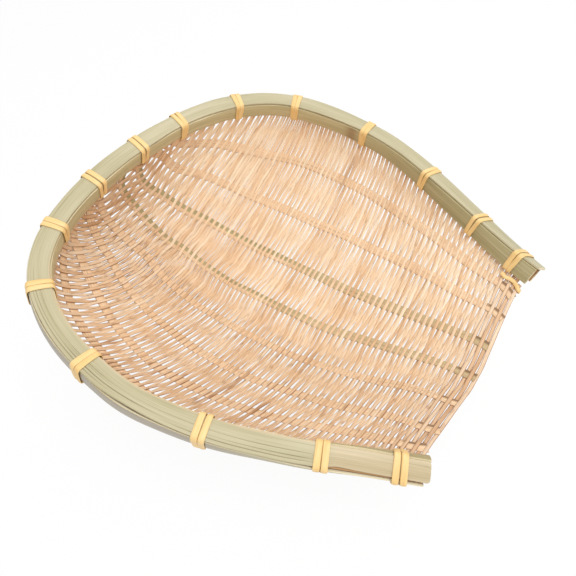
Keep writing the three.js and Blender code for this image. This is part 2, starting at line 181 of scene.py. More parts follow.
def rim_frame(share):
    """Centre, along, outward and up of the rim's section at each share of the arms."""
    share = np.asarray(share, float)
    step = 0.004
    along = unit(rim_point(np.minimum(share + step, 1)) - rim_point(np.maximum(share - step, -1)))
    level = unit(np.cross([0, 0, 1.0], along))
    square = np.cross(along, level)
    lean = (BACK_LEAN + (MOUTH_LEAN - BACK_LEAN) * np.abs(share) ** LEAN_GROWTH)[..., None]
    outward = level * np.cos(lean) - square * np.sin(lean)
    up = level * np.sin(lean) + square * np.cos(lean)
    return rim_point(share), along, outward, up


def in_section(share, across, height):
    centre, _, outward, up = rim_frame(share)
    return centre + outward * np.asarray(across)[..., None] + up * np.asarray(height)[..., None]


def edge_drop(share):
    before_end = (WEAVE_END - np.abs(share)) * ARM
    return CORNER_DROP * np.clip(1 - before_end / DROP_RUN, 0, 1) ** 2


def panel_edge(share):
    share = np.asarray(share, float)
    height = -RIM_D / 2 - edge_drop(share)
    return in_section(share, np.full_like(height, FLANGE_ACROSS), height), rim_frame(share)[3]


def spine_path():
    point, up = panel_edge(0.0)
    floor = PANEL / 2
    lip = np.array([0, LIP_Y, LIP_Z])
    run = np.array([0, math.cos(LIP_SLOPE), -math.sin(LIP_SLOPE)])
    back, front = np.array([0, FLOOR_BACK, floor]), np.array([0, FLOOR_FRONT, floor])
    wall = bezier([point, point - up * WALL_HANDLE, back + [0, FLOOR_HANDLE, 0], back], 300)
    ramp = bezier([front, front - [0, RAMP_HANDLE, 0], lip + run * RAMP_HANDLE, lip], 300)
    return np.vstack([wall, np.linspace(back, front, 60)[1:], ramp[1:]])


SPINE = spine_path()
SPINE_LENGTH = lengths(SPINE)[-1]


def stations():
    """Shares of the right and the left arm that each station of the bowl joins."""
    seat = (STRAND_W + STRAND_GROOVE / 2 + 2 * CLEAR) / ARM
    edges = []
    for ties in (RIGHT_TIES, LEFT_TIES):
        seats = [c + side * seat for c in [0, *ties] for side in (-1, 1)][1:]
        edges.append([s for s in seats if s < WEAVE_END] + [WEAVE_END])
    out = [[edges[0][0]], [edges[1][0]]]
    for i in range(len(edges[0]) - 1):
        runs = [e[i + 1] - e[i] for e in edges]
        steps = max(1, round(sum(runs) / 2 * ARM / RIM_FACET))
        for k in range(1, steps + 1):
            for arm in (0, 1):
                out[arm].append(edges[arm][i] + runs[arm] * k / steps)
    return np.array(out)


RIGHT_SHARES, LEFT_SHARES = stations()
STATION_AT = (RIGHT_SHARES + LEFT_SHARES) / 2 / WEAVE_END


def half_row(at, side):
    """Half a weft row from the spine out to the rim. at runs from 0 at the back to 1 at the mouth."""
    shares = RIGHT_SHARES if side > 0 else LEFT_SHARES
    share = np.interp(at, [0, *STATION_AT], [0, *shares])
    middle = on_path(SPINE, at * SPINE_LENGTH)
    point, up = panel_edge(side * share)
    level = np.array([point[0] * FLOOR_SHARE, middle[1], middle[2]])
    handle = np.array([point[0] * (FLOOR_SHARE + (1 - FLOOR_SHARE) * ROW_FLOOR), middle[1], middle[2]])
    drop = np.linalg.norm(point[1:] - middle[1:])
    curve = bezier([level, handle, point - up * ROW_DROP * drop, point], 60)
    return np.vstack([middle, curve]), up, edge_drop(share) / CORNER_DROP


class Bowl:
    """The weave's middle surface. A place on it is how far it lies from the back to the mouth, 0 to 1, and
    its reach from the spine in millimetres, positive to the right. Past the rim's edge it runs up into the
    rim."""

    STEPS, FIRST, NUDGE = 120, 0.01, 0.004

    def __init__(self, count=260):
        self.rows = np.linspace(self.FIRST, 1, count)
        self.table, self.length, self.up, self.lowered = {}, {}, {}, {}
        for side in (-1, 1):
            halves = [half_row(at, side) for at in self.rows]
            self.length[side] = np.array([lengths(path)[-1] for path, _, _ in halves])
            shares = np.linspace(0, 1, self.STEPS + 1)
            grid = [on_path(h[0], shares * n) for h, n in zip(halves, self.length[side])]
            self.table[side] = np.array(grid)
            self.up[side] = np.array([h[1] for h in halves])
            self.lowered[side] = np.array([h[2] for h in halves])

    def limit(self, at, side):
        return np.interp(at, self.rows, self.length[side])

    def tuck(self, at, side):
        return TUCK + (CORNER_TUCK - TUCK) * np.interp(at, self.rows, self.lowered[side])

    def point(self, at, reach):
        at, reach = np.broadcast_arrays(np.asarray(at, float), np.asarray(reach, float))
        out = np.zeros(at.shape + (3,))
        row = np.interp(at, self.rows, np.arange(len(self.rows)))
        i = np.minimum(row.astype(int), len(self.rows) - 2)
        f = (row - i)[..., None]
        for side in (-1, 1):
            limit = self.limit(at, side)
            u = np.clip(np.abs(reach) / limit, 0, 1) * self.STEPS
            j = np.minimum(u.astype(int), self.STEPS - 1)
            g = (u - j)[..., None]
            t = self.table[side]
            near = t[i, j] * (1 - g) + t[i, j + 1] * g
            far = t[i + 1, j] * (1 - g) + t[i + 1, j + 1] * g
            here = near * (1 - f) + far * f
            here = here + self.up[side][i] * np.maximum(np.abs(reach) - limit, 0)[..., None]
            pick = reach >= 0 if side > 0 else reach < 0
            out[pick] = here[pick]
        return out

    def ahead(self, at, reach):
        """A short way towards the mouth past each place, and the share of the spine that it takes."""
        low, high = np.maximum(at - self.NUDGE, self.FIRST), np.minimum(at + self.NUDGE, 1)
        return self.point(high, reach) - self.point(low, reach), high - low

    def normal(self, at, reach):
        ahead, _ = self.ahead(at, reach)
        across = self.point(at, np.asarray(reach) + 1.5) - self.point(at, np.asarray(reach) - 1.5)
        return unit(np.cross(ahead, across))


bowl = Bowl()


def rib_shares(index, at):
    """How far out a rib lies at places along the spine: a spline through its path's values."""
    path = RIB_PATHS[index]
    station = np.interp(at, [0, *STATION_AT], [0, *np.linspace(0, 1, len(STATION_AT))])
    step = station * (len(path) - 1)
    i = np.minimum(step.astype(int), len(path) - 2)
    t = step - i
    a, b, c, d = (path[np.clip(i + k, 0, len(path) - 1)] for k in (-1, 0, 1, 2))
    u, v = (c - a) / 2, (d - b) / 2
    return (2 * b - 2 * c + u + v) * t ** 3 + (-3 * b + 3 * c - 2 * u - v) * t ** 2 + u * t + b


def rib_reach(index, at):
    at = np.asarray(at, float)
    share = rib_shares(index, at)
    return share * np.where(share < 0, bowl.limit(at, -1), bowl.limit(at, 1))


def crossings(at, reach):
    """For places on the weave: the ribs on either side, or the rim, as their distances and their parities."""
    left, right = -bowl.limit(at, -1) - GRIP, bowl.limit(at, 1) + GRIP
    left_odd, right_odd = np.full(at.shape, -1), np.full(at.shape, -1)
    for k in range(len(RIB_PATHS)):
        line = rib_reach(k, at)
        held = np.abs(rib_shares(k, at)) < 1
        before = held & (line <= reach) & (line > left)
        after = held & (line > reach) & (line < right)
        left, left_odd = np.where(before, line, left), np.where(before, k % 2, left_odd)
        right, right_odd = np.where(after, line, right), np.where(after, k % 2, right_odd)
    left_odd = np.where(left_odd < 0, np.where(right_odd < 0, 0, 1 - right_odd), left_odd)
    right_odd = np.where(right_odd < 0, 1 - left_odd, right_odd)
    return reach - left, right - reach, left_odd, right_odd


def colour(code):
    rgb = [int(code[i:i + 2], 16) / 255 for i in (0, 2, 4)]
    return (*[c / 12.92 if c <= 0.04045 else ((c + 0.055) / 1.055) ** 2.4 for c in rgb], 1.0)


class Strips:
    """One mesh of many strips. A strip is a run of rings with the same number of points, closed at both ends.
    UV is in centimetres: along the strip, and across it."""

    def __init__(self):
        self.verts, self.quads, self.ends = [], [], []
        self.uv, self.tint, self.mark, self.line = [], [], [], []
        self.quad_slots, self.end_slots = [], []
        self.count = 0

    def add(self, rings, along, across, tint=0.5, slots=None, end_slot=0, mark=0.0, line=0.0):
        rings = np.asarray(rings, float)
        n, m = rings.shape[:2]
        across, mark, line = (np.broadcast_to(value, (n, m)) for value in (across, mark, line))
        middle, after = rings[n // 2], rings[min(n // 2 + 1, n - 1)]
        area = np.cross(middle - middle.mean(0), np.roll(middle, -1, axis=0) - middle.mean(0)).sum(0)
        slots = [0] * m if slots is None else list(slots)
        # Rings that would give faces that point in are turned round
        if area @ (after.mean(0) - middle.mean(0)) < 0:
            rings, across, mark, line = (value[:, ::-1] for value in (rings, across, mark, line))
            slots = slots[:-1][::-1] + slots[-1:]
        grid = self.count + np.arange(n * m).reshape(n, m)
        nxt = np.roll(grid, -1, axis=1)
        self.quads.append(np.stack([grid[:-1], nxt[:-1], nxt[1:], grid[1:]], -1).reshape(-1, 4))
        self.quad_slots.append(np.tile(slots, n - 1))
        self.ends += [grid[0][::-1].tolist(), grid[-1].tolist()]
        self.end_slots += [end_slot, end_slot]
        self.verts.append(rings.reshape(-1, 3))
        along = np.broadcast_to(np.asarray(along, float)[:, None], (n, m))
        self.uv.append(np.stack([along, across], -1).reshape(-1, 2) / 10)
        self.tint.append(np.broadcast_to(np.asarray(tint, float).reshape(-1, 1), (n, m)).ravel())
        self.mark.append(mark.ravel())
        self.line.append(line.ravel())
        self.count += n * m

    def finish(self, name, materials, slot_name, replaces=(), sharp=35):
        points = (np.vstack(self.verts) + ORIGIN) / 1000
        faces = np.vstack(self.quads).tolist() + self.ends
        mesh = bpy.data.meshes.new(name)
        mesh.from_pydata(points.tolist(), [], faces)
        corners = np.zeros(len(mesh.loops), dtype=np.int32)
        mesh.loops.foreach_get("vertex_index", corners)
        uv = np.vstack(self.uv)[corners]
        mesh.uv_layers.new(name="UVMap").data.foreach_set("uv", uv.ravel())
        for label, values in (("tint", self.tint), ("mark", self.mark), ("line", self.line)):
            mesh.attributes.new(label, "FLOAT", "POINT").data.foreach_set("value", np.concatenate(values))
        for material in materials:
            mesh.materials.append(material)
        slots = np.concatenate([*self.quad_slots, self.end_slots]).astype(np.int32)
        mesh.polygons.foreach_set("material_index", slots)
        mesh.polygons.foreach_set("use_smooth", np.ones(len(faces), dtype=bool))
        mesh.set_sharp_from_angle(angle=math.radians(sharp))
        mesh.update()
        piece = bpy.data.objects.new(name, mesh)
        bpy.context.scene.collection.objects.link(piece)
        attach(piece, "root")
        if replaces:
            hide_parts(*replaces)
        return piece


def flat_strip(width, thickness, crown=0.12, edge=0.22):
    """Section of a split strip: rounded edges and a slightly crowned face, as (across, lift) pairs."""
    w, t = width / 2, thickness / 2
    upper = [(-w, 0), (-w + edge, t * 0.8), (-w * 0.45, t), (0, t * (1 + crown)), (w * 0.45, t),
             (w - edge, t * 0.8), (w, 0)]
    lower = [(w - edge, -t * 0.8), (w * 0.3, -t), (-w * 0.3, -t), (-w + edge, -t * 0.8)]
    return np.array(upper + lower)


def feed(tree, socket, value):
    """Links a socket to another node's output, or gives it a plain value."""
    if isinstance(value, bpy.types.NodeSocket):
        tree.links.new(value, socket)
    else:
        socket.default_value = value


def add(tree, kind, inputs=None, **settings):
    node = tree.nodes.new(kind)
    for key, value in settings.items():
        setattr(node, key, value)
    for key, value in (inputs or {}).items():
        feed(tree, node.inputs[key], value)
    return node


def fibres(tree, uv, length, width, detail=3.0, seed=0.0, distortion=0.0):
    """Noise drawn out along the grain, with features of about the given length and width in millimetres."""
    scale = add(tree, "ShaderNodeMapping", {"Vector": uv, "Scale": (10 / length, 10 / width, 1),
                                            "Location": (seed, seed * 1.7, seed)})
    return add(tree, "ShaderNodeTexNoise", {"Vector": scale.outputs["Vector"], "Scale": 1.0, "Detail": detail,
                                            "Roughness": 0.6, "Distortion": distortion}).outputs["Fac"]


def mix(tree, factor, a, b, blend="MIX"):
    node = add(tree, "ShaderNodeMix", data_type="RGBA", blend_type=blend)
    for socket, value in ((node.inputs[0], factor), (node.inputs[6], a), (node.inputs[7], b)):
        feed(tree, socket, value)
    return node.outputs[2]


def ramp(tree, factor, stops):
    node = add(tree, "ShaderNodeValToRGB", {"Fac": factor})
    elements = node.color_ramp.elements
    while len(elements) < len(stops):
        elements.new(0.5)
    for element, (position, value) in zip(elements, stops):
        element.position = position
        element.color = colour(value) if isinstance(value, str) else (value, value, value, 1)
    return node.outputs["Color"]


def maths(tree, operation, *values):
    node = add(tree, "ShaderNodeMath", operation=operation)
    for socket, value in zip(node.inputs, values):
        feed(tree, socket, value)
    return node.outputs[0]


def split_bamboo(name, stops, streak, *, roughness, grain, patch, streak_at, bump=0.25, rough_spread=0.12,
                 tint_share=0.0, stain=None, marked=None, lined=None):
    """Split bamboo or cane: long grain, broad tone changes and thin dark streaks, all along the strip. Where
    the mesh's mark is 1 the tones are the marked ones, and where its line is 1 it has the lined colour."""
    material = bpy.data.materials.new(name)
    material.use_nodes = True
    tree = material.node_tree
    surface = tree.nodes["Principled BSDF"]
    surface.inputs["Roughness"].default_value = roughness
    uv = add(tree, "ShaderNodeUVMap", uv_map="UVMap").outputs["UV"]
    fine = fibres(tree, uv, *grain, detail=4)
    broad = fibres(tree, uv, *patch, detail=2, seed=3.1)
    tone = maths(tree, "ADD", maths(tree, "MULTIPLY", fine, 0.45), maths(tree, "MULTIPLY", broad, 0.55))
    if tint_share:
        tint = add(tree, "ShaderNodeAttribute", attribute_name="tint").outputs["Fac"]
        tone = maths(tree, "ADD", maths(tree, "MULTIPLY", tone, 1 - tint_share),
                     maths(tree, "MULTIPLY", tint, tint_share))
    base = ramp(tree, tone, stops)
    if marked:
        mark = add(tree, "ShaderNodeAttribute", attribute_name="mark").outputs["Fac"]
        base = mix(tree, mark, base, ramp(tree, tone, marked))
    lines = fibres(tree, uv, grain[0] * 1.6, grain[1] * 0.8, detail=2, seed=9.4)
    mask = ramp(tree, lines, [(streak_at, 0.0), (streak_at + 0.09, 1.0)])
    base = mix(tree, maths(tree, "MULTIPLY", mask, 0.75), base, colour(streak))
    if stain:
        code, amount, threshold = stain
        spots = fibres(tree, uv, 16, 2.2, detail=3, seed=21.0)
        spots = ramp(tree, spots, [(threshold, 0.0), (threshold + 0.08, 1.0)])
        base = mix(tree, maths(tree, "MULTIPLY", spots, amount), base, colour(code))
    if lined:
        line = add(tree, "ShaderNodeAttribute", attribute_name="line").outputs["Fac"]
        base = mix(tree, line, base, colour(lined))
    tree.links.new(base, surface.inputs["Base Color"])
    rough = add(tree, "ShaderNodeMapRange", {"Value": fine, "To Min": roughness - rough_spread,
                                             "To Max": roughness + rough_spread}).outputs[0]
    tree.links.new(rough, surface.inputs["Roughness"])
    relief = add(tree, "ShaderNodeBump", {"Height": fine, "Strength": bump, "Distance": 0.0003})
    tree.links.new(relief.outputs["Normal"], surface.inputs["Normal"])
    return material


SKIN_TONES = [(0.25, "A39B73"), (0.5, "BDB38F"), (0.75, "D0C6A8")]
# The lined colour draws the cap's split lines, and painted shadow along the cap's outer lower edge
SKIN_FINISH = {"roughness": 0.42, "grain": (90, 0.45), "patch": (120, 5), "streak_at": 0.63,
               "lined": "5E4526"}
# Its marked tones are grey: painted shade on the outer lath's left arm
skin = split_bamboo("bamboo_skin", SKIN_TONES, "8F8657", **SKIN_FINISH,
                    marked=[(0.25, "938A77"), (0.5, "ADA28F"), (0.75, "C0B5A3")])
skin_cap = split_bamboo("bamboo_skin_cap", SKIN_TONES, "8F8657", **SKIN_FINISH,
                        marked=[(0.25, "BCA17A"), (0.5, "D2B892"), (0.75, "E3CBA8")])
# Its marked tones are painted shade on the inner lath; its lined colour is a brown stain
skin_shaded = split_bamboo("bamboo_skin_shaded", [(0.25, "ABA072"), (0.5, "C7BB90"), (0.75, "DBCFA9")],
                           "7F7448", roughness=0.42, grain=(90, 0.6), patch=(110, 5), streak_at=0.62,
                           marked=[(0.25, "7D7248"), (0.5, "93875C"), (0.75, "A89B70")], lined="8A5A30")
# Its lined colour is painted shadow on the outer lath's ledge by the cap
cut_edge = split_bamboo("bamboo_cut_edge", [(0.25, "DCC9A0"), (0.5, "EBDDB8"), (0.8, "F5EAD0")], "B59A70",
                        roughness=0.7, grain=(30, 0.35), patch=(50, 3), streak_at=0.6,
                        marked=[(0.25, "9E925F"), (0.8, "C0B386")], lined="4A3720")
inside = split_bamboo("bamboo_inside", [(0.25, "A97B4F"), (0.5, "C49A6C"), (0.8, "DAB98C")], "7C5633",
                      roughness=0.8, grain=(20, 0.5), patch=(30, 3), streak_at=0.6)
WEFT_TONES = [(0.2, "D8AB80"), (0.45, "F0CCA4"), (0.65, "F9DFBE"), (0.9, "FEEDD2")]
# Its marked tones are dark brown: painted shade on the wefts' edges, beside the slits and in dashes, and the
# stains
weft_cream = split_bamboo("weft_cream", WEFT_TONES, "A87646", roughness=0.62, grain=(30, 0.35),
                          patch=(60, 20), streak_at=0.57, bump=0.3, tint_share=0.5, stain=("A9744A", 0.4, 0.58),
                          marked=[(0.2, "7C4A20"), (0.9, "A2683A")])
# Its marked tones are the olive skin; its lined colour is painted shade on the ribs' edges and ends
rib_cream = split_bamboo("rib_cream", [(0.25, "DCB48C"), (0.5, "EECAA2"), (0.8, "F7DCBA")], "8F673C",
                         roughness=0.65, grain=(40, 0.6), patch=(60, 4), streak_at=0.6,
                         marked=[(0.25, "9C8B5C"), (0.5, "B0A072"), (0.8, "C4B588")], lined="6E4A28")
# Its lined colour is painted shade between a tie's two strands
cane = split_bamboo("cane", [(0.25, "E4B56C"), (0.5, "F2CC88"), (0.8, "FBDFA8")], "C98F3D",
                    roughness=0.48, grain=(26, 0.4), patch=(20, 3), streak_at=0.66, tint_share=0.2,
                    lined="A8742E")


def rim_shares(end, steps=420, close=False):
    """Shares round the rim from left to right. With close, a few more lie close together at the two ends."""
    shares = np.linspace(-end, end, steps)
    if close:
        near = end - np.array([0.0, 0.15, 0.5, 1.0, 1.7, 2.6, 3.6]) / ARM
        shares = np.concatenate([-near, shares[np.abs(shares) < near[-1]], near[::-1]])
    return shares


def sweep(strips, shares, across, height, slots, end_slot, mark=0.0, line=0.0):
    """Sweeps a section round the rim. across and height hold one row of the section per share."""
    centre, _, outward, up = rim_frame(shares)
    rings = centre[:, None] + outward[:, None] * across[..., None] + up[:, None] * height[..., None]
    around = np.linalg.norm(np.diff(np.stack([across[0], height[0]], -1), axis=0), axis=1)
    v = np.concatenate([[0], np.cumsum(around)])
    strips.add(rings, shares * ARM, v, slots=slots, end_slot=end_slot, mark=mark, line=line)


def side_lath(name, side, end, material):
    """Inner or outer rim lath: skin away from the box, cut edges above and below. The outer one has a dark
    ledge by the cap, which is painted shadow, and grey skin on the left arm, which is painted shade. The inner
    one is darker with painted shade on the right arm, where it has a brown stain, and at the left arm's end."""
    shares = rim_shares(end)
    top, bottom, soft = RIM_D / 2 - CAP - CLEAR, -RIM_D / 2, 0.35
    turn = np.linspace(-1, 1, 13)
    skin_height = bottom + soft + (top - bottom - 2 * soft) * (turn + 1) / 2
    skin_across = RIM_W / 2 - CROWN * turn ** 2
    inner = RIM_W / 2 - LATH
    # The section's points: 3 along the lower edge, 13 over the skin and 3 along the upper edge
    a = np.concatenate([[inner, inner + soft, RIM_W / 2 - CROWN - soft], skin_across,
                        [RIM_W / 2 - CROWN - soft, inner + soft, inner]])
    h = np.concatenate([[bottom + soft, bottom, bottom], skin_height, [top, top, top - soft]])
    slots = [1] * 3 + [0] * 12 + [1] * 3 + [2]
    drift = waves(4, 160, 11 + side)(shares * ARM) * 0.35
    across = side * (a[None] + drift[:, None] * (a[None] > inner + soft))
    height = np.broadcast_to(h, across.shape) + (waves(4, 140, 15 + side)(shares * ARM) * 0.3)[:, None]
    height = np.minimum(height, top)
    mark, line = np.zeros(across.shape), np.zeros(across.shape)
    if side > 0:
        # Painted shade: the outer face greyer on the left arm, where it turns down
        mark[:, 3:16] = (smooth((-0.22 - shares) / 0.16) * smooth((shares + 0.82) / 0.14))[:, None]
        # Painted shadow: a dark line on the ledge by the cap, fainter at the left arm's end
        line[:, -2:] = (0.9 - 0.5 * smooth((-0.85 - shares) / 0.03))[:, None]
    else:
        # Painted shade: darker on the right arm and at the left arm's end
        mark[:] = (smooth((shares - 0.42) / 0.3) * 0.5 + 0.5 * smooth((-0.85 - shares) / 0.04))[:, None]
        mark[:, 16:] = 0.35 + 0.65 * smooth((shares - 0.1) / 0.4)[:, None]
        line[:, 3:16] = (0.55 * np.exp(-((shares - 0.517) / 0.014) ** 2))[:, None]
    strips = Strips()
    sweep(strips, shares, across, height, slots, 1, mark, line)
    finish = "rim_skin" if side > 0 else "rim_skin_shaded"
    return strips.finish(name, [material, cut_edge, inside], finish, [name])


def cap_lath():
    """Cap lath with rounded ends. On the left arm it has split lines from the middle out and a tan inner edge,
    and past that arm's last but one tie it is narrower and tan."""
    shares = rim_shares(1.0, close=True)
    half, top, thick = RIM_W / 2 - REVEAL, RIM_D / 2, CAP
    soft, round_r, narrowed = 0.3, 2.4, 2.6
    grooves = [0.02, 0.44, 0.7]
    beside = [g + d for g in grooves for d in (-0.05, 0, 0.05)]
    turn = np.unique(np.concatenate([np.linspace(-1, 1, 17), beside, [-0.95, -0.9]]).round(3))
    lift = top - CROWN * turn ** 2
    n = len(turn)
    before_end = (1 - np.abs(shares)) * ARM
    round_end = round_r - np.sqrt(np.maximum(round_r ** 2 - np.maximum(round_r - before_end, 0) ** 2, 0))
    width = half + waves(5, 150, 5)(shares * ARM) * 0.3 - round_end
    side_shift = waves(4, 220, 6)(shares * ARM) * 0.25
    outer = np.concatenate([turn * (half - soft), [half, half, half - soft, -half + soft, -half, -half]])
    level = np.concatenate([lift, [top - CROWN - soft, top - thick + soft, top - thick, top - thick,
                                   top - thick + soft, top - CROWN - soft]])
    across = outer[None] / half * width[:, None] + side_shift[:, None]
    near_end = smooth((-0.855 - shares) / 0.03)
    across -= narrowed * near_end[:, None] * (outer[None] / half + 1) / 2
    height = np.repeat(level[None], len(shares), 0)
    mark, line = np.zeros(across.shape), np.zeros(across.shape)
    left = smooth((-0.22 - shares) / 0.15) * smooth((shares + 0.9) / 0.05)
    mark[:, :n][:, turn < -0.93] = (0.9 * left)[:, None]
    mark = np.maximum(mark, 0.5 * near_end[:, None])
    split = smooth((shares + 0.87) / 0.05) * smooth((-0.3 - shares) / 0.12)
    for g, depth, dark in zip(grooves, (0.25, 0.3, 0.3), (0.55, 0.8, 0.6)):
        k = int(np.argmin(np.abs(turn - g)))
        fade = np.clip(0.75 + 0.6 * waves(4, 260, int(g * 100))(shares * ARM), 0, 1)
        height[:, k] -= depth * split * fade
        line[:, k] = dark * split * fade
    # Painted shadow: a dark line along the cap's outer lower edge, over the outer lath's ledge, fainter on the
    # right arm
    line[:, n + 1:n + 3] = (0.8 - 0.4 * smooth((shares - 0.4) / 0.1))[:, None]
    slots = [0] * (n + 2) + [2] + [0] * 3
    strips = Strips()
    sweep(strips, shares, across, height, slots, 1, mark, line)
    return strips.finish("rim_cap", [skin_cap, cut_edge, inside], "rim_skin", ["rim_cap_lath"])


def core():
    """Filler strip between the side laths, seen at the arms' hollow ends."""
    shares = rim_shares(1 - CORE_SETBACK / ARM)
    inner = FLANGE_ACROSS + PANEL / 2 + CLEAR
    outer = RIM_W / 2 - LATH - CLEAR
    top = RIM_D / 2 - CAP - CLEAR
    section = np.array([[inner, top - CORE_D], [outer, top - CORE_D], [outer, top], [inner, top]])
    across = np.repeat(section[None, :, 0], len(shares), 0)
    height = np.repeat(section[None, :, 1], len(shares), 0)
    strips = Strips()
    sweep(strips, shares, across, height, [0] * 4, 0)
    return strips.finish("rim_filler", [inside], "rim_inside", ["rim_core"])


side_lath("rim_inner_lath", -1, 1.0, skin_shaded)
side_lath("rim_outer_lath", 1, 1 - OUTER_SHORT / ARM, skin)
cap_lath()
core()


def weft_slope(place, reach):
    """How far the wefts run towards the mouth per millimetre to the right, fitted to the way that they lie in
    the photo."""
    a, x = np.clip(place / SPINE_LENGTH, 0.05, 1), reach / 100
    turn = np.tanh(reach / 35)
    slope = (-0.194 + 0.052 * a + 0.095 * a * a + (0.837 - 1.556 * a + 1.067 * a * a) * turn
             + (-0.416 + 1.079 * a - 1.088 * a * a) * x + (0.223 - 0.636 * a + 0.503 * a * a) * x * x)
    return np.clip(slope, -0.6, 0.45) * smooth((SPINE_LENGTH - place) / 110)


def weft_paths():
    """Each weft's places along the spine over a row of reaches, and how far apart the wefts are there."""
    end = SPINE_LENGTH - BORDER_WEFTS * BORDER_PITCH
    starts = [6.0]
    while starts[-1] < end:
        starts.append(starts[-1] + np.interp(starts[-1], PITCH_AT, PITCHES))
    starts = np.array(starts[:-1])
    starts = starts * (end - (starts[-1] - starts[-2]) / 2) / starts[-1]
    starts = np.concatenate([starts, end + BORDER_PITCH * (np.arange(BORDER_WEFTS) + 0.5)])
    reach = np.arange(-330.0, 331.0, REACH_STEP)
    middle = len(reach) // 2
    paths = np.zeros((len(starts), len(reach)))
    paths[:, middle] = starts
    for step in (1, -1):
        for j in range(middle, len(reach) - 1 if step > 0 else 0, step):
            halfway = reach[j] + step * REACH_STEP / 2
            paths[:, j + step] = paths[:, j] + REACH_STEP * step * weft_slope(paths[:, j], halfway)
    return reach, paths, np.gradient(paths, axis=0)


def weft_ends(reach, path):
    """How far a weft runs to the left and the right before it is tucked into the rim."""
    ends = []
    at = np.clip(path / SPINE_LENGTH, bowl.FIRST, 1)
    for side in (-1, 1):
        room = bowl.limit(at, side) + bowl.tuck(at, side) - np.abs(reach)
        k = len(reach) // 2
        while room[k + side] > 0:
            k += side
        ends.append(reach[k] + side * REACH_STEP * room[k] / (room[k] - room[k + side]))
    return ends


def stains_and_shade(place, reach):
    """How brown the wefts are: more at the back, which is painted shade under the rim, at the mouth and on the
    left, and along stained wefts.
    """
    # The first term is painted shade on the back wall, under the rim's overhang
    total = 0.12 * smooth((110 - place) / 100) + 0.14 * smooth((place - 440) / 30)
    total = total + 0.17 * smooth(0.35 - reach / 130)
    total = total + 0.1 * smooth((-110 - reach) / 60) * smooth((place - 210) / 60)
    for x, low, high, amount in STAINED:
        inside = smooth((reach - low) / 12) * smooth((high - reach) / 12)
        total = total + amount * inside * np.exp(-((place - x) / 3.2) ** 2)
    return total


# Noise that neighbouring wefts share: three that bunch them, one that says where, and two that open the weave
bunch_a, bunch_b, bunch_c = waves(5, 60, 31), waves(4, 90, 32), waves(4, 38, 33)
slow = waves(4, 240, 34)
open_a, open_b = waves(4, 120, 41), waves(4, 150, 42)


